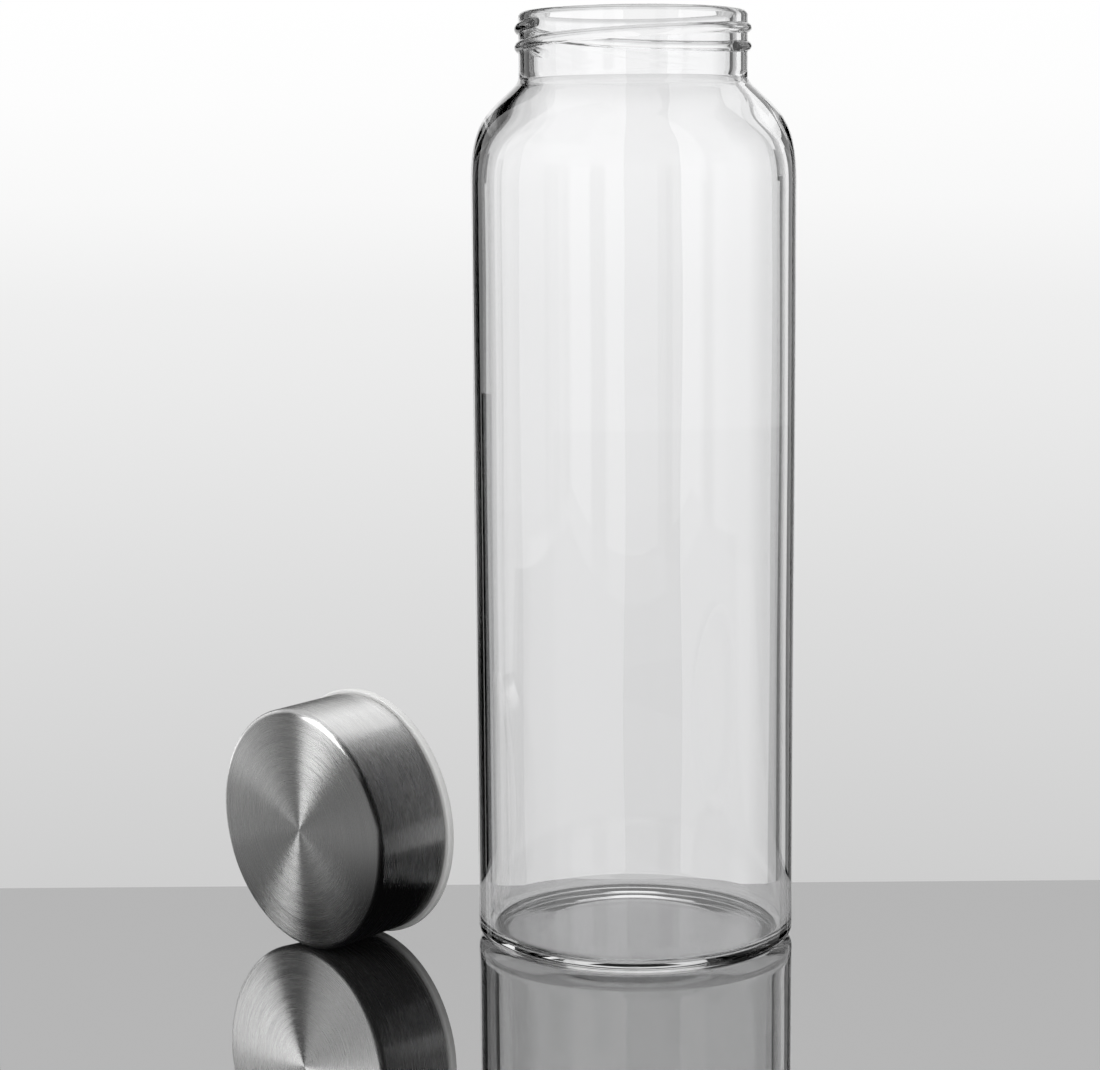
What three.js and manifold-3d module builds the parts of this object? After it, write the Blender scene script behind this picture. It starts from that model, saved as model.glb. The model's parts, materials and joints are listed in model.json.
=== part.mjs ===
// Wide-mouth glass water bottle with a screw cap, standing open with its cap lying beside it.
// Millimetres, +Z up. The origin is the middle of the bottle's flat base, on the bottle's axis.

import * as THREE from 'three';
import { mergeVertices } from 'three/addons/utils/BufferGeometryUtils.js';
import Module from 'manifold-3d';

const TURN = 2 * Math.PI;
const QUARTER = TURN / 4;

// ---- driving dimensions -------------------------------------------------------------------------

const bottle = {
  radius: 42,
  height: 242.4,
  wall: 2.7,
  baseThickness: 2.7,
  footCorner: 3.2,
  innerCorner: 3.0,
  shoulderStart: 198,
  shoulderEnd: 224.3,
  shoulderLowPull: 215.8,
  shoulderHighPull: { radius: 37.2, height: 217.2 },
  shoulderEndInset: 0.6,
  neckRadius: 29.4,
  neckFillet: 1.2,
};

// Two ridges, half a turn apart, that climb by one lead for each turn.
const thread = {
  starts: 2,
  lead: 9.3,
  turns: 0.72,
  stepsPerTurn: 32,
  rootDepth: 0.3,
  taperSteps: 4,
  tipRise: 0.25,
};
const neckRidge = { proud: 1.0, base: 2.4, crest: 1.2, middle: 235.9, middleAngle: -QUARTER };

const fit = 0.3; // clearance between neighbouring pieces

// The cap is built along its own axis: w = 0 is its brushed face, and it opens towards +w.
const shell = { radius: 32.1, thickness: 0.5, height: 22.4, corner: 1.6 };
const flange = { radius: 33.1, thickness: 2.1, frontBevel: 0.5, rearBevel: 0.7 };
const insert = {
  wall: 0.6,
  webStart: 3.4,
  webEnd: 5.0,
  ribInner: 25.0,
  ribOuter: 25.8,
  ribHeight: 1.4,
  topStep: 1.2,
  mouthBevel: 0.5,
};
const capRidge = { proud: 0.95, base: 2.4, crest: 1.1, middle: 15.6 };
const seal = { inner: 26.3, outer: 30.0, thickness: 1.8, bevel: 0.3 };

// Where the cap lies on the table: the middle of its face, and the way that its open end points.
const capPlace = { x: -88.4, y: -14.7, azimuth: TURN / 8 };

// ---- derived dimensions -------------------------------------------------------------------------

const insertTop = shell.thickness + fit;
const insertOuter = shell.radius - shell.thickness - fit;
const insertInner = insertOuter - insert.wall;
const flangeStart = shell.height + fit;
const capHeight = flangeStart + flange.thickness;

const SEGMENTS = 48; // sides of every turned piece
const CORNER_STEPS = 3; // pieces of a small rounded corner
const RIM_STEPS = 6;
const SHOULDER_STEPS = { outside: 9, inside: 7 };
const WELD_DISTANCE = 1e-4;

// ---- materials ----------------------------------------------------------------------------------

const glass = new THREE.MeshStandardMaterial({
  color: 0xe9eeee, roughness: 0.03, metalness: 0, transparent: true, opacity: 0.4,
});
const brushedSteel = new THREE.MeshStandardMaterial({ color: 0xb9b9b7, roughness: 0.32, metalness: 1 });
const whitePlastic = new THREE.MeshStandardMaterial({ color: 0xeeeeec, roughness: 0.45, metalness: 0 });
const silicone = new THREE.MeshStandardMaterial({ color: 0xe2e4e2, roughness: 0.6, metalness: 0 });

// ---- shape helpers ------------------------------------------------------------------------------

// Points of an arc in a lathe profile, from one angle to another, both ends included.
function arc(centreRadius, centreHeight, radius, from, to, steps) {
  return Array.from({ length: steps + 1 }, (_, i) => {
    const a = from + ((to - from) * i) / steps;
    return new THREE.Vector2(centreRadius + radius * Math.cos(a), centreHeight + radius * Math.sin(a));
  });
}

function point(radius, height) {
  return new THREE.Vector2(radius, height);
}

// Turns a closed (radius, height) profile about +Z. The profile runs anticlockwise.
function turned(profile) {
  return new THREE.LatheGeometry(profile, SEGMENTS).rotateX(QUARTER);
}

// One helical ridge of trapezoid section. Its root is sunk a little into the wall it stands on, and
// both of its ends taper away to nothing. A negative direction makes it stand inwards.
function helicalRidge(rootRadius, ridge, direction, startAngle, middleHeight) {
  const { turns, lead, rootDepth, taperSteps, tipRise } = thread;
  const steps = Math.round(turns * thread.stepsPerTurn);
  const root = rootRadius - direction * rootDepth;
  const positions = [];
  for (let i = 0; i <= steps; i += 1) {
    const along = i / steps - 0.5;
    const angle = startAngle + along * turns * TURN;
    const height = middleHeight + along * turns * lead;
    const rise = Math.min(1, (Math.min(i, steps - i) + tipRise) / taperSteps);
    const crestRadius = rootRadius + direction * ridge.proud * rise;
    const widthShare = (1 + rise) / 2;
    const section = [
      [root, -ridge.base / 2],
      [rootRadius, -ridge.base / 2],
      [crestRadius, -ridge.crest / 2],
      [crestRadius, ridge.crest / 2],
      [rootRadius, ridge.base / 2],
      [root, ridge.base / 2],
    ];
    for (const [r, dz] of section) {
      positions.push(r * Math.cos(angle), r * Math.sin(angle), height + dz * widthShare);
    }
  }
  const sides = positions.length / 3 / (steps + 1);
  return sweptSolid(positions, sides, steps, direction > 0);
}

// Joins rings of points into a closed body, with a fan over each end.
function sweptSolid(positions, sides, steps, forwards) {
  const index = [];
  const face = (a, b, c) => (forwards ? index.push(a, b, c) : index.push(a, c, b));
  for (let i = 0; i < steps; i += 1) {
    for (let j = 0; j < sides; j += 1) {
      const a = i * sides + j;
      const b = i * sides + ((j + 1) % sides);
      face(a, a + sides, b);
      face(b, a + sides, b + sides);
    }
  }
  const last = steps * sides;
  for (let j = 1; j < sides - 1; j += 1) {
    face(0, j, j + 1);
    face(last, last + j + 1, last + j);
  }
  const geometry = new THREE.BufferGeometry();
  geometry.setAttribute('position', new THREE.Float32BufferAttribute(positions, 3));
  geometry.setIndex(index);
  return geometry;
}

// ---- boolean joins ------------------------------------------------------------------------------

const wasm = await Module();
wasm.setup();

function toSolid(geometry) {
  const bare = geometry.clone();
  bare.deleteAttribute('normal');
  bare.deleteAttribute('uv');
  const merged = mergeVertices(bare, WELD_DISTANCE);
  return new wasm.Manifold(new wasm.Mesh({
    numProp: 3,
    vertProperties: new Float32Array(merged.attributes.position.array),
    triVerts: new Uint32Array(merged.index.array),
  }));
}

function toGeometry(solid) {
  const mesh = solid.getMesh();
  const geometry = new THREE.BufferGeometry();
  geometry.setAttribute('position', new THREE.BufferAttribute(mesh.vertProperties, 3));
  geometry.setIndex(new THREE.BufferAttribute(mesh.triVerts, 1));
  return geometry;
}

// Adds the helical ridges to a turned body. The first one's middle is at the given angle.
function withThread(body, rootRadius, ridge, direction, firstAngle) {
  let solid = toSolid(body);
  for (let start = 0; start < thread.starts; start += 1) {
    const angle = firstAngle + (start * TURN) / thread.starts;
    solid = solid.add(toSolid(helicalRidge(rootRadius, ridge, direction, angle, ridge.middle)));
  }
  return toGeometry(solid);
}

// ---- the pieces ---------------------------------------------------------------------------------

// The shoulder's curve for a wall of the given inset: it leaves the body upright and meets the neck
// at a slant.
function shoulderCurve(inset, steps) {
  const { radius, neckRadius, neckFillet, shoulderStart, shoulderEnd } = bottle;
  const { shoulderLowPull, shoulderHighPull, shoulderEndInset } = bottle;
  return new THREE.CubicBezierCurve(
    point(radius - inset, shoulderStart),
    point(radius - inset, shoulderLowPull - inset),
    point(shoulderHighPull.radius - inset, shoulderHighPull.height - inset),
    point(neckRadius + neckFillet / 2 - inset, shoulderEnd - inset * shoulderEndInset),
  ).getPoints(steps);
}

function glassBottle() {
  const { radius, height, wall, baseThickness, footCorner, innerCorner } = bottle;
  const { neckRadius, neckFillet, shoulderEnd } = bottle;
  const inner = radius - wall;
  const lip = wall / 2;
  const outside = [
    point(0, 0),
    ...arc(radius - footCorner, footCorner, footCorner, -QUARTER, 0, CORNER_STEPS),
    ...shoulderCurve(0, SHOULDER_STEPS.outside),
    point(neckRadius, shoulderEnd + neckFillet),
  ];
  const rim = arc(neckRadius - lip, height - lip, lip, 0, 2 * QUARTER, RIM_STEPS);
  const inside = [
    point(neckRadius - wall, shoulderEnd + neckFillet),
    ...shoulderCurve(wall, SHOULDER_STEPS.inside).reverse(),
    ...arc(inner - innerCorner, baseThickness + innerCorner, innerCorner, 0, -QUARTER, CORNER_STEPS),
    point(0, baseThickness),
  ];
  const body = turned([...outside, ...rim, ...inside]);
  return withThread(body, neckRadius, neckRidge, 1, neckRidge.middleAngle);
}

function capShell() {
  const { radius, thickness, height, corner } = shell;
  return turned([
    point(0, 0),
    ...arc(radius - corner, corner, corner, -QUARTER, 0, CORNER_STEPS),
    point(radius, height),
    point(radius - thickness, height),
    ...arc(radius - corner, corner, corner - thickness, 0, -QUARTER, CORNER_STEPS),
    point(0, thickness),
  ]);
}

function capInsert() {
  const { webStart, webEnd, ribInner, ribOuter, ribHeight, topStep, mouthBevel } = insert;
  const body = turned([
    point(0, webStart),
    point(insertInner, webStart),
    point(insertInner, insertTop + topStep),
    point(insertOuter, insertTop + topStep),
    point(insertOuter, flangeStart),
    point(flange.radius - flange.frontBevel, flangeStart),
    point(flange.radius, flangeStart + flange.frontBevel),
    point(flange.radius, capHeight - flange.rearBevel),
    point(flange.radius - flange.rearBevel, capHeight),
    point(insertInner + mouthBevel, capHeight),
    point(insertInner, capHeight - mouthBevel),
    point(insertInner, webEnd),
    point(ribOuter, webEnd),
    point(ribOuter, webEnd + ribHeight),
    point(ribInner, webEnd + ribHeight),
    point(ribInner, webEnd),
    point(0, webEnd),
  ]);
  return withThread(body, insertInner, capRidge, -1, 0);
}

function sealRing() {
  const { inner, outer, thickness, bevel } = seal;
  const start = insert.webEnd + fit;
  return turned([
    point(inner, start + bevel),
    point(inner + bevel, start),
    point(outer - bevel, start),
    point(outer, start + bevel),
    point(outer, start + thickness - bevel),
    point(outer - bevel, start + thickness),
    point(inner + bevel, start + thickness),
    point(inner, start + thickness - bevel),
    point(inner, start + bevel),
  ]);
}

// ---- the assembly -------------------------------------------------------------------------------

function named(name, geometry, material) {
  const mesh = new THREE.Mesh(geometry, material);
  mesh.name = name;
  return mesh;
}

// The cap lies on the edge of its flange and on the edge of its face, so its axis tips up slightly
// towards the open end.
function lyingCap() {
  const cap = new THREE.Group();
  cap.add(named('cap_shell', capShell(), brushedSteel));
  cap.add(named('cap_insert', capInsert(), whitePlastic));
  cap.add(named('seal_ring', sealRing(), silicone));
  const restSpan = flangeStart + flange.frontBevel - shell.corner;
  const tip = Math.atan2(flange.radius - shell.radius, restSpan);
  const axis = new THREE.Vector3(
    Math.cos(tip) * Math.cos(capPlace.azimuth),
    Math.cos(tip) * Math.sin(capPlace.azimuth),
    Math.sin(tip),
  );
  cap.quaternion.setFromUnitVectors(new THREE.Vector3(0, 0, 1), axis);
  const rise = shell.radius * Math.cos(tip) - shell.corner * Math.sin(tip);
  cap.position.set(capPlace.x, capPlace.y, rise);
  return cap;
}

const waterBottle = new THREE.Group();
waterBottle.add(named('glass_bottle', glassBottle(), glass));
waterBottle.add(lyingCap());

export default waterBottle;
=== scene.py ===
"""The looks of a wide-mouth glass water bottle, standing open, with its brushed steel cap beside it.

Metres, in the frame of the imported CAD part: +Z up, and the origin in the middle of the bottle's base.
"""

import json
import math

import bpy
import numpy as np
from mathutils import Matrix, Vector


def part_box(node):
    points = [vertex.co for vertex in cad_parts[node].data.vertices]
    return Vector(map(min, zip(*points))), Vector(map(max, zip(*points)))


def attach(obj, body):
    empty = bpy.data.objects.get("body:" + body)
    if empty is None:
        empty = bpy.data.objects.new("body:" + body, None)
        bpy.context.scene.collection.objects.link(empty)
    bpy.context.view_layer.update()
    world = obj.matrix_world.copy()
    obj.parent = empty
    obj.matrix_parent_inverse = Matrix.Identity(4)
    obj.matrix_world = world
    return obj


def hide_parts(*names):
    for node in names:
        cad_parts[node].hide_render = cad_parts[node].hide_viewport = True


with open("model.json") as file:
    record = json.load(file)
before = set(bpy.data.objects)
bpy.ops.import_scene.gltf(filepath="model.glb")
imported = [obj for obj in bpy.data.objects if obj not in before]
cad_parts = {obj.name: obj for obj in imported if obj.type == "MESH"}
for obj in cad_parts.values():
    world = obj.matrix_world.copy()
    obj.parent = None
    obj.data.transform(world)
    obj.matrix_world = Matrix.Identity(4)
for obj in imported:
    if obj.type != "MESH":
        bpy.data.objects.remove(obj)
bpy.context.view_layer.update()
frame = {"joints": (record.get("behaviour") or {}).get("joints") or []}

MM = 0.001

# ---- the bottle's sizes, from its CAD box where it gives them -----------------------------------

bottle_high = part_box("glass_bottle")[1]
BODY_R = bottle_high.x
HEIGHT = bottle_high.z
WALL = 2.7 * MM
FLOOR = 2.7 * MM
FOOT_CORNER = 3.2 * MM
FLOOR_CORNER = 3.0 * MM
BODY_IN = BODY_R - WALL
LIP_R = WALL / 2
LIP_Z = HEIGHT - LIP_R
PUSH_UP = 0.5 * MM
PUSH_UP_FLAT = 0.55  # how far the push-up's flat reaches, as a share of the body's radius
PUSH_UP_END = 0.86  # and where the push-up ends
NECK_R = 29.4 * MM
NECK_IN = NECK_R - WALL
NECK_FLARE = 0.6 * MM
NECK_FILLET = 0.8 * MM
NECK_START = 225.5 * MM
NECK_WALL_START = NECK_START + 0.6 * MM
SHOULDER_START = 198.0 * MM
SHOULDER_LOW_PULL = 215.8 * MM
SHOULDER_HIGH_PULL = (37.2 * MM, 217.2 * MM)
SHOULDER_END = 224.3 * MM
SHOULDER_END_INSET = 0.6

THREAD_STARTS = 2
THREAD_LEAD = 9.3 * MM
THREAD_TURNS = 0.72
THREAD_TAPER = 0.5  # radians over which each end of a ridge fades away
NECK_RIDGE = {"proud": 1.0 * MM, "half": 1.25 * MM, "middle": 235.9 * MM, "angle": -math.pi / 2}

# ---- the cap's sizes, along its own axis from its face (0) to its open end ----------------------

SHELL_R = 32.1 * MM
SHELL_THICK = 0.5 * MM
SHELL_LENGTH = 22.4 * MM
SHELL_CORNER = 1.6 * MM
GAP = 0.3 * MM
INSERT_R = SHELL_R - SHELL_THICK - GAP
INSERT_IN = INSERT_R - 0.6 * MM
INSERT_STEP = SHELL_THICK + GAP + 1.2 * MM
WEB_START = 3.4 * MM
WEB_END = 5.0 * MM
WEB_CORNER = 0.6 * MM
RIB_IN = 25.0 * MM
RIB_OUT = 25.8 * MM
RIB_END = WEB_END + 1.4 * MM
FLANGE_R = 33.1 * MM
FLANGE_START = SHELL_LENGTH + GAP
CAP_LENGTH = FLANGE_START + 2.1 * MM
MOUTH_EDGE = 1.2 * MM
CAP_RIDGE = {"proud": 0.95 * MM, "half": 1.25 * MM, "middle": 15.6 * MM, "angle": 0.0}
SEAL_IN = 26.3 * MM
SEAL_OUT = 30.0 * MM
SEAL_START = WEB_END + GAP
SEAL_END = SEAL_START + 1.8 * MM

# How many sides each turned piece has.
GLASS_SIDES = 320
CAP_SIDES = 256
SEAL_SIDES = 192
SAME_RADIUS = 1e-7  # radii closer than this are the same surface

cap_joint = next(j for j in frame["joints"] if j["name"] == "cap_turn")
CAP_FACE = Vector(cap_joint["pos_m"])
CAP_AXIS = Vector(cap_joint["axis"]).normalized()
CAP_TURN = Vector((0, 0, 1)).rotation_difference(CAP_AXIS)
CAP_PLACE = Matrix.Translation(CAP_FACE) @ CAP_TURN.to_matrix().to_4x4()


# ---- outlines -----------------------------------------------------------------------------------

def rounded(corners, steps):
    """A fine outline through corners (radius, height, fillet), with an arc at each filleted one."""
    points = []
    for i, (r, z, fillet) in enumerate(corners):
        here = np.array((r, z))
        if fillet == 0:
            points.append(here)
            continue
        before = np.array(corners[i - 1][:2]) - here
        after = np.array(corners[(i + 1) % len(corners)][:2]) - here
        before /= np.linalg.norm(before)
        after /= np.linalg.norm(after)
        half = math.acos(np.clip(before @ after, -1, 1)) / 2
        middle = here + (before + after) / np.linalg.norm(before + after) * fillet / math.sin(half)
        start = here + before * fillet / math.tan(half) - middle
        sweep = math.pi - 2 * half
        turn = np.sign(before[1] * after[0] - before[0] * after[1])
        for k in range(steps + 1):
            a = turn * sweep * k / steps
            spin = np.array(((math.cos(a), -math.sin(a)), (math.sin(a), math.cos(a))))
            points.append(middle + spin @ start)
    return points


def straight(start, end, steps):
    """Evenly spaced points from start to end, both left out."""
    start, end = np.array(start), np.array(end)
    return [start + (end - start) * k / steps for k in range(1, steps)]


def bezier(a, b, c, d, steps):
    """Points of a cubic curve, both ends included."""
    a, b, c, d = (np.array(p) for p in (a, b, c, d))
    ts = [k / steps for k in range(steps + 1)]
    return [
        (1 - t) ** 3 * a + 3 * (1 - t) ** 2 * t * b + 3 * (1 - t) * t * t * c + t ** 3 * d
        for t in ts
    ]


# ---- turned meshes ------------------------------------------------------------------------------

def new_object(name, data):
    """A new object in the scene's own collection."""
    thing = bpy.data.objects.new(name, data)
    bpy.context.scene.collection.objects.link(thing)
    return thing


def turned(name, outline, segments, closed=False, shift=None):
    """Turns an outline about Z into a closed smooth mesh. shift(angle, r, z) moves points radially."""
    outline = [tuple(p) for p in outline]
    angles = np.arange(segments) * 2 * math.pi / segments
    verts, rings = [], []
    for r, z in outline:
        if r < SAME_RADIUS:
            rings.append([len(verts)] * segments)
            verts.append((0.0, 0.0, z))
            continue
        radii = np.full(segments, r) if shift is None else r + shift(angles, r, z)
        start = len(verts)
        verts.extend(zip(radii * np.cos(angles), radii * np.sin(angles), [z] * segments))
        rings.append(list(range(start, start + segments)))
    pairs = list(zip(rings, rings[1:] + rings[:1])) if closed else list(zip(rings, rings[1:]))
    faces = []
    for low, high in pairs:
        for i in range(segments):
            j = (i + 1) % segments
            corners = (low[i], low[j], high[j], high[i])
            faces.append(tuple(dict.fromkeys(corners)))
    mesh = bpy.data.meshes.new(name)
    mesh.from_pydata(verts, [], faces)
    mesh.polygons.foreach_set("use_smooth", [True] * len(mesh.polygons))
    mesh.validate()
    mesh.update()
    return new_object(name, mesh)


def ridge_height(angles, z, ridge):
    """How far the helical ridges stand out of the wall at each angle, at height z."""
    span = THREAD_TURNS * math.pi
    height = np.zeros(len(angles))
    for start in range(THREAD_STARTS):
        centre = ridge["angle"] + start * 2 * math.pi / THREAD_STARTS
        along = (angles - centre + math.pi) % (2 * math.pi) - math.pi
        taper = np.clip((span - np.abs(along)) / THREAD_TAPER, 0, 1)
        taper = taper * taper * (3 - 2 * taper)
        off = (z - ridge["middle"] - along * THREAD_LEAD / (2 * math.pi)) / ridge["half"]
        hump = np.clip(1 - off * off, 0, 1) ** 0.75
        height = np.maximum(height, hump * taper * ridge["proud"])
    return height


# ---- the glass ----------------------------------------------------------------------------------

def shoulder(inset, steps):
    """The shoulder's outline, from the body up to the neck, for a surface that far inside."""
    pull_r, pull_z = SHOULDER_HIGH_PULL
    return bezier(
        (BODY_R - inset, SHOULDER_START),
        (BODY_R - inset, SHOULDER_LOW_PULL - inset),
        (pull_r - inset, pull_z - inset),
        (NECK_R + NECK_FLARE - inset, SHOULDER_END - SHOULDER_END_INSET * inset),
        steps,
    )


# The slow waves of a blown wall: height in mm, waves round the body, radians per metre up, start.
WAVES = ((0.020, 2, 17, 0.0), (0.012, 5, -31, 1.0), (0.006, 9, 55, 2.2))
WAVE_FADE = 20 * MM


def inner_unevenness(angles, z):
    return MM * sum(h * np.sin(around * angles + up * z + start) for h, around, up, start in WAVES)


def bottle_outside():
    """From the middle of the base, up to where the rim's arc starts."""
    foot = rounded(
        [
            (0, PUSH_UP, 0),
            (BODY_R * PUSH_UP_FLAT, PUSH_UP, 50 * MM),
            (BODY_R * PUSH_UP_END, 0, 20 * MM),
            (BODY_R, 0, FOOT_CORNER),
            (BODY_R, SHOULDER_START, 0),
        ],
        12,
    )[:-1]
    body = straight((BODY_R, FOOT_CORNER), (BODY_R, SHOULDER_START), 30)
    neck_foot = rounded(
        [
            (NECK_R + NECK_FLARE, SHOULDER_END, 0),
            (NECK_R, NECK_START, NECK_FILLET),
            (NECK_R, LIP_Z, 0),
        ],
        5,
    )[1:-1]
    neck = straight((NECK_R, NECK_WALL_START), (NECK_R, LIP_Z), 110)
    return foot + body + shoulder(0, 40) + neck_foot + neck


def bottle_rim():
    return [
        np.array((NECK_R - LIP_R + LIP_R * math.cos(a), LIP_Z + LIP_R * math.sin(a)))
        for a in np.linspace(0, math.pi, 17)
    ]


def bottle_inside():
    """From where the rim's arc ends, down to the middle of the floor."""
    neck = straight((NECK_IN, LIP_Z), (NECK_IN, NECK_START), 16)
    body = straight((BODY_IN, SHOULDER_START), (BODY_IN, FLOOR + FLOOR_CORNER), 60)
    corner = rounded(
        [(BODY_IN, FLOOR + 2 * FLOOR_CORNER, 0), (BODY_IN, FLOOR, FLOOR_CORNER), (0, FLOOR, 0)], 16
    )[1:-1]
    floor = straight((BODY_IN - FLOOR_CORNER, FLOOR), (0, FLOOR), 12)
    return neck + shoulder(WALL, 36)[::-1] + body + corner + floor + [np.array((0, FLOOR))]


def bottle_shift(angles, r, z):
    """The thread on the neck's outside, and the waves on the body's inside, which fade at its ends."""
    if abs(r - NECK_R) < SAME_RADIUS:
        return ridge_height(angles, z, NECK_RIDGE)
    if abs(r - BODY_IN) < SAME_RADIUS:
        share = min(1, (z - FLOOR - FLOOR_CORNER) / WAVE_FADE, (SHOULDER_START - z) / WAVE_FADE)
        return inner_unevenness(angles, z) * max(0, share)
    return np.zeros(len(angles))


def make_bottle():
    outline = bottle_outside() + bottle_rim() + bottle_inside()
    piece = turned("glass_body", outline, GLASS_SIDES, shift=bottle_shift)
    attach(piece, "bottle")
    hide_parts("glass_bottle")
    return piece


# ---- the cap ------------------------------------------------------------------------------------

def place_on_cap(piece, body, node):
    piece.matrix_world = CAP_PLACE
    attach(piece, body)
    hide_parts(node)
    return piece


def make_shell():
    edge = 0.15 * MM
    outline = rounded(
        [
            (0, 0, 0),
            (SHELL_R, 0, SHELL_CORNER),
            (SHELL_R, SHELL_LENGTH, edge),
            (SHELL_R - SHELL_THICK, SHELL_LENGTH, edge),
            (SHELL_R - SHELL_THICK, SHELL_THICK, SHELL_CORNER - SHELL_THICK),
            (0, SHELL_THICK, 0),
        ],
        10,
    )
    return place_on_cap(turned("steel_shell", outline, CAP_SIDES), "cap", "cap_shell")


def make_insert():
    small = 0.12 * MM
    lower = rounded(
        [
            (0, WEB_START, 0),
            (INSERT_IN, WEB_START, 0.4 * MM),
            (INSERT_IN, INSERT_STEP, small),
            (INSERT_R, INSERT_STEP, small),
            (INSERT_R, FLANGE_START, 0.1 * MM),
            (FLANGE_R, FLANGE_START, 0.5 * MM),
            (FLANGE_R, CAP_LENGTH, 0.7 * MM),
            (INSERT_IN, CAP_LENGTH, 0.5 * MM),
            (INSERT_IN, CAP_LENGTH - MOUTH_EDGE, 0),
        ],
        6,
    )
    wall = straight((INSERT_IN, CAP_LENGTH - MOUTH_EDGE), (INSERT_IN, WEB_END + WEB_CORNER), 90)
    upper = rounded(
        [
            (INSERT_IN, WEB_END + WEB_CORNER, 0),
            (INSERT_IN, WEB_END, 0.4 * MM),
            (RIB_OUT, WEB_END, 0.2 * MM),
            (RIB_OUT, RIB_END, 0.25 * MM),
            (RIB_IN, RIB_END, 0.25 * MM),
            (RIB_IN, WEB_END, 0.2 * MM),
            (0, WEB_END, 0),
        ],
        6,
    )

    def shift(angles, r, z):
        if abs(r - INSERT_IN) < SAME_RADIUS and z > WEB_END:
            return -ridge_height(angles, z, CAP_RIDGE)
        return np.zeros(len(angles))

    piece = turned("white_insert", lower + wall + upper, CAP_SIDES, shift=shift)
    return place_on_cap(piece, "cap", "cap_insert")


def make_seal():
    soft = 0.45 * MM
    outline = rounded(
        [
            (SEAL_IN, SEAL_START, soft),
            (SEAL_OUT, SEAL_START, soft),
            (SEAL_OUT, SEAL_END, soft),
            (SEAL_IN, SEAL_END, soft),
        ],
        8,
    )
    ring = turned("silicone_seal", outline, SEAL_SIDES, closed=True)
    return place_on_cap(ring, "seal", "seal_ring")


# ---- materials ----------------------------------------------------------------------------------

class Nodes:
    """A short way to build a node tree."""

    def __init__(self, tree):
        self.tree = tree

    def add(self, kind, inputs=(), **settings):
        node = self.tree.nodes.new(kind)
        for key, value in settings.items():
            setattr(node, key, value)
        self.feed(node, inputs)
        return node

    def feed(self, node, inputs):
        for key, value in dict(inputs).items():
            if isinstance(value, bpy.types.NodeSocket):
                self.tree.links.new(value, node.inputs[key])
            else:
                node.inputs[key].default_value = value

    def maths(self, operation, *values):
        node = self.add("ShaderNodeMath", enumerate(values), operation=operation)
        return node.outputs[0]

    def between(self, value, low, high, out_low, out_high):
        """The value, stretched from its own range to another one."""
        ends = {"From Min": low, "From Max": high, "To Min": out_low, "To Max": out_high}
        return self.add("ShaderNodeMapRange", {"Value": value, **ends}).outputs[0]


def blank_material(name):
    material = bpy.data.materials.new(name)
    material.use_nodes = True
    material.node_tree.nodes.clear()
    return material, Nodes(material.node_tree)


def new_material(name):
    material, nodes = blank_material(name)
    shader = nodes.add("ShaderNodeBsdfPrincipled")
    out = nodes.add("ShaderNodeOutputMaterial")
    material.node_tree.links.new(shader.outputs[0], out.inputs["Surface"])
    return material, nodes, shader


def glass_material():
    material, nodes, shader = new_material("clear_glass")
    where = nodes.add("ShaderNodeTexCoord").outputs["Object"]
    noise = {"Vector": where, "Scale": 28.0, "Detail": 1.0}
    ripple = nodes.add("ShaderNodeTexNoise", noise).outputs["Fac"]
    bump = nodes.add("ShaderNodeBump", {"Height": ripple, "Strength": 0.05, "Distance": 0.4 * MM})
    nodes.feed(shader, {
        "Base Color": (0.987, 0.988, 0.991, 1),
        "Roughness": 0.0,
        "IOR": 1.47,
        "Transmission Weight": 1.0,
        "Normal": bump.outputs["Normal"],
    })
    return material


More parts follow.
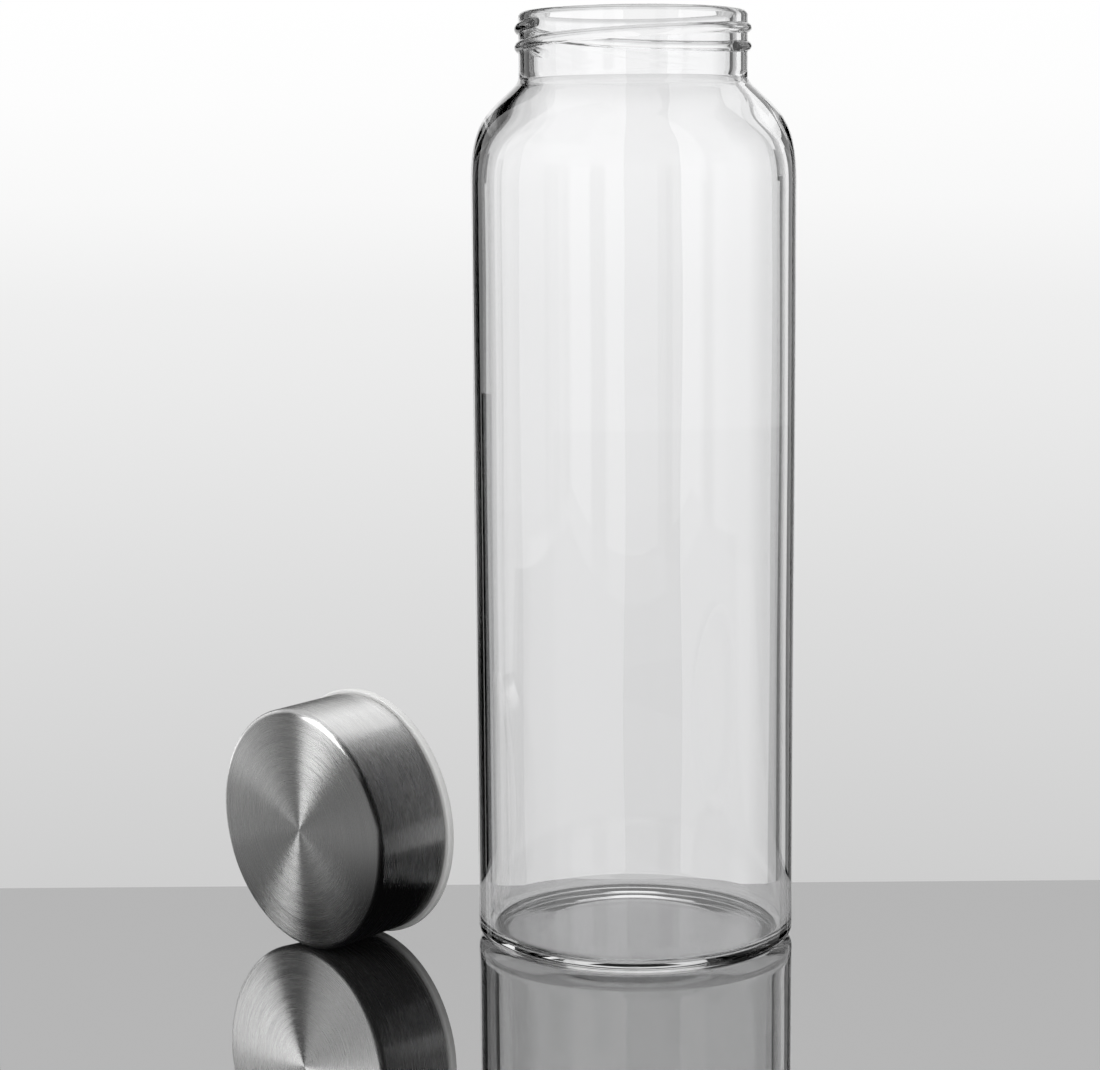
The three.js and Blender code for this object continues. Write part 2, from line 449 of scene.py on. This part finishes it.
def brushed_steel_material():
    """Steel brushed in circles about the cap's axis, on its face and round its side."""
    material, nodes, shader = new_material("brushed_steel")
    where = nodes.add("ShaderNodeTexCoord").outputs["Object"]
    parts = nodes.add("ShaderNodeSeparateXYZ", {"Vector": where})
    x, y, z = (parts.outputs[i] for i in range(3))
    squares = nodes.maths("ADD", nodes.maths("MULTIPLY", x, x), nodes.maths("MULTIPLY", y, y))
    radius = nodes.maths("SQRT", squares)
    across = nodes.maths("ADD", radius, nodes.maths("MULTIPLY", z, 1.1))
    flat = nodes.add("ShaderNodeVectorMath", {0: where, 1: (1, 1, 0)}, operation="MULTIPLY").outputs[0]
    heading = nodes.add("ShaderNodeVectorMath", {0: flat}, operation="NORMALIZE").outputs[0]
    turn = nodes.add("ShaderNodeSeparateXYZ", {"Vector": heading})

    def streaks(pitch, along, detail):
        """Noise that is stretched along the brushing."""
        vector = nodes.add("ShaderNodeCombineXYZ", {
            "X": nodes.maths("MULTIPLY", turn.outputs[0], along),
            "Y": nodes.maths("MULTIPLY", turn.outputs[1], along),
            "Z": nodes.maths("DIVIDE", across, pitch),
        }).outputs[0]
        noise = {"Vector": vector, "Scale": 1.0, "Detail": detail}
        return nodes.add("ShaderNodeTexNoise", noise).outputs["Fac"]

    fine = nodes.maths("MULTIPLY", streaks(0.12 * MM, 2.5, 2.0), 0.6)
    broad = nodes.maths("MULTIPLY", streaks(1.1 * MM, 1.2, 3.0), 0.4)
    both = nodes.maths("ADD", fine, broad)
    bump = nodes.add("ShaderNodeBump", {"Height": both, "Strength": 0.16, "Distance": 0.05 * MM})
    tangent = nodes.add("ShaderNodeTangent", direction_type="RADIAL", axis="Z").outputs[0]
    shade = nodes.add("ShaderNodeValToRGB", {"Fac": both})
    dark, light = shade.color_ramp.elements
    dark.position, dark.color = 0.3, (0.44, 0.44, 0.44, 1)
    light.position, light.color = 0.7, (0.60, 0.60, 0.595, 1)
    nodes.feed(shader, {
        "Base Color": shade.outputs[0],
        "Metallic": 1.0,
        "Roughness": nodes.between(both, 0.3, 0.7, 0.23, 0.30),
        "Anisotropic": 1.0,
        "Anisotropic Rotation": 0.25,
        "Tangent": tangent,
        "Normal": bump.outputs["Normal"],
    })
    return material


def moulded_material(name, colours, roughness, extra):
    """A moulded plastic or rubber: faint mottling, and a fine matt grain."""
    material, nodes, shader = new_material(name)
    where = nodes.add("ShaderNodeTexCoord").outputs["Object"]
    cloud_noise = {"Vector": where, "Scale": 60.0, "Detail": 2.0}
    cloud = nodes.add("ShaderNodeTexNoise", cloud_noise).outputs["Fac"]
    grain_noise = {"Vector": where, "Scale": 2600.0, "Detail": 1.0}
    grain = nodes.add("ShaderNodeTexNoise", grain_noise).outputs["Fac"]
    tint = nodes.add("ShaderNodeValToRGB", {"Fac": cloud})
    for element, colour in zip(tint.color_ramp.elements, colours):
        element.color = (*colour, 1)
    bump = nodes.add("ShaderNodeBump", {"Height": grain, "Strength": 0.25, "Distance": 0.02 * MM})
    nodes.feed(shader, {
        "Base Color": tint.outputs[0],
        "Roughness": nodes.between(cloud, 0.3, 0.7, roughness - 0.04, roughness + 0.04),
        "Normal": bump.outputs["Normal"],
        **extra,
    })
    return material


# ---- floor, lights and camera -------------------------------------------------------------------

TABLE_BACK = 45 * MM
TABLE_FRONT = -600 * MM
TABLE_HALF_WIDTH = 700 * MM
TABLE_THICK = 12 * MM
TABLE_DROP = 0.2 * MM
MIRRORED_INSET = 0.1 * MM
TABLE_GLOSS = 0.455
TABLE_MATT = 0.012
# Painted reflection: the brushed steel sees the hidden table copy glow, brighter on its left than on its
# right.
STEEL_GLOW = (0.30, 0.004)  # what the brushed steel sees of the table, on its left and on its right
STEEL_GLOW_EDGES = (-160 * MM, -110 * MM)  # the x between which the one turns into the other


def grey(level):
    return (level, level, level, 1)


def staging_material(name, level, see_through=False, dark_after=None):
    """A glowing material for a card. A see-through one adds its light to what is behind it. With
    dark_after it is dark to rays that have had such a bounce: "Glossy Depth" or "Transmission Depth"."""
    material, nodes = blank_material(name)
    strength = level
    if dark_after:
        bounces = nodes.add("ShaderNodeLightPath").outputs[dark_after]
        strength = nodes.maths("MULTIPLY", nodes.maths("LESS_THAN", bounces, 0.5), level)
    surface = nodes.add("ShaderNodeEmission", {"Strength": strength}).outputs[0]
    if see_through:
        clear = nodes.add("ShaderNodeBsdfTransparent").outputs[0]
        surface = nodes.add("ShaderNodeAddShader", {0: surface, 1: clear}).outputs[0]
    nodes.add("ShaderNodeOutputMaterial", {"Surface": surface})
    return material


def make_table(name, inset, painted_glow_for_steel=False):
    """The polished table, with each of its faces moved in by inset. With painted_glow_for_steel it shines
    only for sharp rays, as the glass sends on. For the brushed steel's rays it glows softly instead, a
    painted reflection that is brighter on the table's left than on its right."""
    mesh = bpy.data.meshes.new(name)
    x, back, front = TABLE_HALF_WIDTH - inset, TABLE_BACK - inset, TABLE_FRONT + inset
    top, low = -TABLE_DROP - inset, inset - TABLE_THICK
    outline = ((-x, front), (x, front), (x, back), (-x, back))
    corners = [(*corner, z) for z in (low, top) for corner in outline]
    faces = [(3, 2, 1, 0), (4, 5, 6, 7), (0, 1, 5, 4), (1, 2, 6, 5), (2, 3, 7, 6), (3, 0, 4, 7)]
    mesh.from_pydata(corners, [], faces)
    table = new_object(name, mesh)
    material, nodes = blank_material(name)
    gloss = nodes.add("ShaderNodeBsdfGlossy", {"Color": grey(TABLE_GLOSS), "Roughness": 0.0})
    matt = nodes.add("ShaderNodeBsdfDiffuse", {"Color": grey(TABLE_MATT)})
    both = nodes.add("ShaderNodeAddShader", {0: gloss.outputs[0], 1: matt.outputs[0]})
    # Painted reflection: for the steel's soft rays the table glows, brighter on its left than on its
    # right, in place of what it would mirror.
    if painted_glow_for_steel:
        where = nodes.add("ShaderNodeTexCoord").outputs["Object"]
        x = nodes.add("ShaderNodeSeparateXYZ", {"Vector": where}).outputs[0]
        strength = nodes.between(x, *STEEL_GLOW_EDGES, *STEEL_GLOW)
        soft = nodes.add("ShaderNodeEmission", {"Strength": strength})
        sharp = nodes.add("ShaderNodeLightPath").outputs["Is Singular Ray"]
        both = nodes.add("ShaderNodeMixShader", {0: sharp, 1: soft.outputs[0], 2: both.outputs[0]})
    nodes.add("ShaderNodeOutputMaterial", {"Surface": both.outputs[0]})
    mesh.materials.append(material)
    return table


PATCH_STEP = 6  # degrees, the most that one face of a patch covers


def patch_object(name, azimuths, elevations, distance):
    """A piece of a big sphere round the object. Azimuth is from +Y towards +X, in degrees."""
    mesh = bpy.data.meshes.new(name)
    across, up = (
        np.radians(np.linspace(low, high, 2 + int((high - low) / PATCH_STEP)))
        for low, high in (azimuths, elevations)
    )
    verts = [
        distance * np.array((math.sin(a) * math.cos(e), math.cos(a) * math.cos(e), math.sin(e)))
        for e in up
        for a in across
    ]
    n = len(across)
    faces = [
        (j * n + i, j * n + i + 1, (j + 1) * n + i + 1, (j + 1) * n + i)
        for j in range(len(up) - 1)
        for i in range(n - 1)
    ]
    mesh.from_pydata(verts, [], faces)
    return new_object(name, mesh)


def show_to(patch, *kinds):
    """Lets only these kinds of ray meet a patch. The camera never does."""
    patch.visible_camera = False
    patch.visible_diffuse = False
    patch.visible_glossy = "glossy" in kinds
    patch.visible_transmission = "transmission" in kinds
    patch.visible_volume_scatter = False
    patch.visible_shadow = False


def make_card(name, azimuths, elevations, distance, level, lit, *kinds, **look):
    """A card that lights only the pieces in lit, or all if that is None. The rest sees it black, or
    looks through it if its material is see-through."""
    card = patch_object(name, azimuths, elevations, distance)
    card.data.materials.append(staging_material(name, level, **look))
    card.light_linking.receiver_collection = lit
    show_to(card, *kinds)


def make_veil(name, azimuths, elevations, distance, tint, glow=0.0, after_gloss=False):
    """A faint sheet behind the object, seen only through the glass: it dims what is behind it, and
    glows a little more towards its lower edge. With after_gloss it is there only for rays that a shiny
    surface has sent on, as the table and the edges of the glass do."""
    veil = patch_object(name, azimuths, elevations, distance)
    material, nodes = blank_material(name)
    colour = grey(tint)
    if after_gloss:
        bounces = nodes.add("ShaderNodeLightPath").outputs["Glossy Depth"]
        colour = nodes.between(nodes.maths("GREATER_THAN", bounces, 0.5), 0, 1, 1, tint)
    where = nodes.add("ShaderNodeTexCoord").outputs["Generated"]
    height = nodes.add("ShaderNodeSeparateXYZ", {"Vector": where}).outputs[2]
    clear = nodes.add("ShaderNodeBsdfTransparent", {"Color": colour})
    light = nodes.add("ShaderNodeEmission", {"Strength": nodes.between(height, 0, 1, glow, 0)})
    both = nodes.add("ShaderNodeAddShader", {0: clear.outputs[0], 1: light.outputs[0]})
    nodes.add("ShaderNodeOutputMaterial", {"Surface": both.outputs[0]})
    veil.data.materials.append(material)
    show_to(veil, "transmission")


def make_shade(name, azimuths, elevations, distance):
    """A black sheet that only the brushed steel sees. Sharp rays pass it, as from the glass or table."""
    shade = patch_object(name, azimuths, elevations, distance)
    material, nodes = blank_material(name)
    sharp = nodes.add("ShaderNodeLightPath").outputs["Is Singular Ray"]
    clear = nodes.add("ShaderNodeBsdfTransparent", {"Color": sharp})
    nodes.add("ShaderNodeOutputMaterial", {"Surface": clear.outputs[0]})
    shade.data.materials.append(material)
    show_to(shade, "glossy")


# The backdrop's brightness, from the low end of its span (0) to the high end (1).
BACKDROP_SPAN = (-0.30, 0.10)  # sines of the elevation
BACKDROP = (
    (0.0, 0.59),
    (0.075, 0.62),
    (0.34, 0.725),
    (0.54, 0.82),
    (0.64, 0.862),
    (0.74, 0.94),
    (0.84, 0.982),
    (0.93, 1.0),
)


def make_world():
    """A bright plain backdrop all round, white above and pale grey below the horizon."""
    world = bpy.data.worlds.new("studio")
    bpy.context.scene.world = world
    world.use_nodes = True
    world.node_tree.nodes.clear()
    nodes = Nodes(world.node_tree)
    way = nodes.add("ShaderNodeTexCoord").outputs["Generated"]
    height = nodes.add("ShaderNodeSeparateXYZ", {"Vector": way}).outputs[2]
    ramp = nodes.add("ShaderNodeValToRGB", {"Fac": nodes.between(height, *BACKDROP_SPAN, 0, 1)})
    elements = ramp.color_ramp.elements
    while len(elements) < len(BACKDROP):
        elements.new(0.5)
    for element, (position, level) in zip(elements, BACKDROP):
        element.position = position
        element.color = grey(level)
    glow = nodes.add("ShaderNodeBackground", {"Color": ramp.outputs[0], "Strength": 1.0})
    nodes.add("ShaderNodeOutputWorld", {"Surface": glow.outputs[0]})


CAMERA_PLACE = Vector((-0.528, -15.33, 4.71))  # in radii of the bottle's body
CAMERA_SENSOR = 36  # mm wide
CAMERA_LENS = 80.8  # mm
CAMERA_TILT = 7.99  # degrees down
CAMERA_ROLL = -0.43  # degrees


def make_camera():
    """The camera stands in front of the bottle and a little below its rim, looking slightly down."""
    data = bpy.data.cameras.new("camera")
    camera = new_object("camera", data)
    data.sensor_width = CAMERA_SENSOR
    data.lens = CAMERA_LENS
    data.clip_start, data.clip_end = 0.01, 100
    camera.location = CAMERA_PLACE * BODY_R
    level = Matrix.Rotation(math.radians(90 - CAMERA_TILT), 4, "X")
    roll = Matrix.Rotation(math.radians(CAMERA_ROLL), 4, "Z")
    camera.rotation_euler = (level @ roll).to_euler()
    bpy.context.scene.camera = camera


def receivers(name, *pieces):
    group = bpy.data.collections.new(name)
    for piece in pieces:
        group.objects.link(piece)
    return group


def make_lights(bottle, table, mirrored_table, cap_pieces):
    """Cards round the object. The glass wants a bright room with dark flags, and the steel a dark
    room with soft boxes, so each card lights only the pieces that it is meant for."""
    for_cap = receivers("for_cap", *cap_pieces)
    for_cap_and_table = receivers("for_cap_and_table", table, *cap_pieces)
    for_table = receivers("for_table", table)
    for_glass = receivers("for_glass", bottle, table)
    for_all_gloss = receivers("for_all_gloss", bottle, table, mirrored_table)
    both = ("transmission", "glossy")
    # Dark flags beside the bright backdrop: they draw the edges of the glass.
    make_card("flag_right", (20, 33), (-30, 25), 1.5, 0.8, for_table, *both)
    make_card("flag_left", (-38, -20), (-30, 60), 1.5, 0.8, for_cap_and_table, *both)
    make_card("flag_high_right", (18, 34), (8, 17), 1.6, 0.8, for_cap, "transmission")
    make_card("flag_high_left", (-46, -17), (8, 17), 1.6, 0.8, for_cap, "transmission")
    for turn in (90, 180, 270):
        make_card(f"flag_right_{turn}", (turn + 21, turn + 33), (-30, 20), 1.5, 0.3, None, "transmission")
        make_card(f"flag_left_{turn}", (turn - 33, turn - 21), (-30, 20), 1.5, 0.3, None, "transmission")
    # The room, as the glass sees it. The steel sees it black.
    make_card("low_front", (52, 240), (-40, -1.5), 2.0, 0.5, for_all_gloss, "glossy")
    make_card("table_front", (52, 240), (-1.5, 20), 2.0, 0.9, for_all_gloss, "glossy")
    make_card("high_right", (36, 135), (20, 88), 2.0, 0.9, for_glass, "glossy")
    make_card("high_front", (135, 215), (20, 78), 2.0, 0.9, for_all_gloss, "glossy")
    make_card("high_left", (215, 274), (27, 78), 2.0, 0.5, for_glass, "glossy")
    make_card("low_right", (34, 52), (-1.5, 20), 2.0, 0.9, for_glass, "glossy")
    make_card("low_left", (240, 312), (-4, 27), 2.0, 0.9, for_glass, "glossy")
    make_card("beyond", (56, 128), (9, 78), 1.9, 1.0, None, "transmission", dark_after="Glossy Depth")
    # Soft boxes for the steel, which the glass doesn't see, and what keeps other light off it.
    box = {"see_through": True, "dark_after": "Transmission Depth"}
    make_card("box_face", (240, 270), (14, 50), 1.8, 6.5, for_cap, "glossy", **box)
    make_card("box_face_low", (258, 271), (-2, 14), 1.8, 3.0, for_cap, "glossy", **box)
    make_card("box_back", (302, 320), (-32, 0), 1.8, 2.0, for_cap, "glossy")
    make_card("box_side", (288, 322), (-10, 27), 1.8, 1.3, for_cap, "glossy", **box)
    make_card("box_top", (-5, 36), (28, 60), 1.8, 0.6, for_cap, "glossy", **box)
    make_shade("steel_shade", (-40, 52), (-12, 23), 1.2)
    make_veil("beyond_low", (48, 130), (-40, 9), 1.85, 0.05, after_gloss=True)
    # Upright bands seen through the glass, and what the table and the edges of the glass mirror.
    make_veil("veil_middle", (1.5, 4.4), (-35, 45), 1.4, 0.92)
    make_veil("veil_left", (-9, -5.6), (-35, 45), 1.4, 0.95)
    make_veil("veil_left_2", (-14, -9), (-35, 45), 1.4, 0.9)
    make_veil("veil_left_3", (-20, -14), (-35, 45), 1.4, 0.84)
    make_veil("veil_right", (15, 21), (-35, 45), 1.4, 0.86)
    make_veil("mirror_middle", (-14, 18), (-35, 60), 1.3, 0.72, after_gloss=True)
    make_veil("mirror_left", (-60, -14), (-35, 60), 1.3, 0.02, after_gloss=True)
    make_veil("mirror_right", (18, 36), (-35, 22), 1.3, 0.02, after_gloss=True)
    make_veil("veil_glow", (-15, 15), (-24, 12), 1.4, 1.0, 0.18)


# ---- put together -------------------------------------------------------------------------------

make_camera()
make_world()
# The table is there twice, a hair apart: one for the eye, and one for what shines in the pieces.
table = make_table("table", 0)
table.visible_glossy = False
# This copy shows the brushed steel a painted reflection: a soft glow, brighter on the table's left.
mirrored_table = make_table("mirrored_table", MIRRORED_INSET, painted_glow_for_steel=True)
mirrored_table.visible_camera = False
mirrored_table.visible_transmission = False
mirrored_table.visible_diffuse = False
mirrored_table.visible_shadow = False

bottle = make_bottle()
shell = make_shell()
insert = make_insert()
seal = make_seal()
bottle.data.materials.append(glass_material())
shell.data.materials.append(brushed_steel_material())
plastic_tones = ((0.84, 0.84, 0.83), (0.90, 0.90, 0.89))
insert.data.materials.append(moulded_material("white_plastic", plastic_tones, 0.42, {}))
silicone_tones = ((0.72, 0.73, 0.72), (0.80, 0.81, 0.80))
silicone = moulded_material("silicone", silicone_tones, 0.55, {"Subsurface Weight": 0.2})
seal.data.materials.append(silicone)
make_lights(bottle, table, mirrored_table, (shell, insert, seal))

bpy.context.scene.view_settings.view_transform = "Standard"
bpy.context.scene.cycles.max_bounces = 24
bpy.context.scene.cycles.glossy_bounces = 16
bpy.context.scene.cycles.transmission_bounces = 24
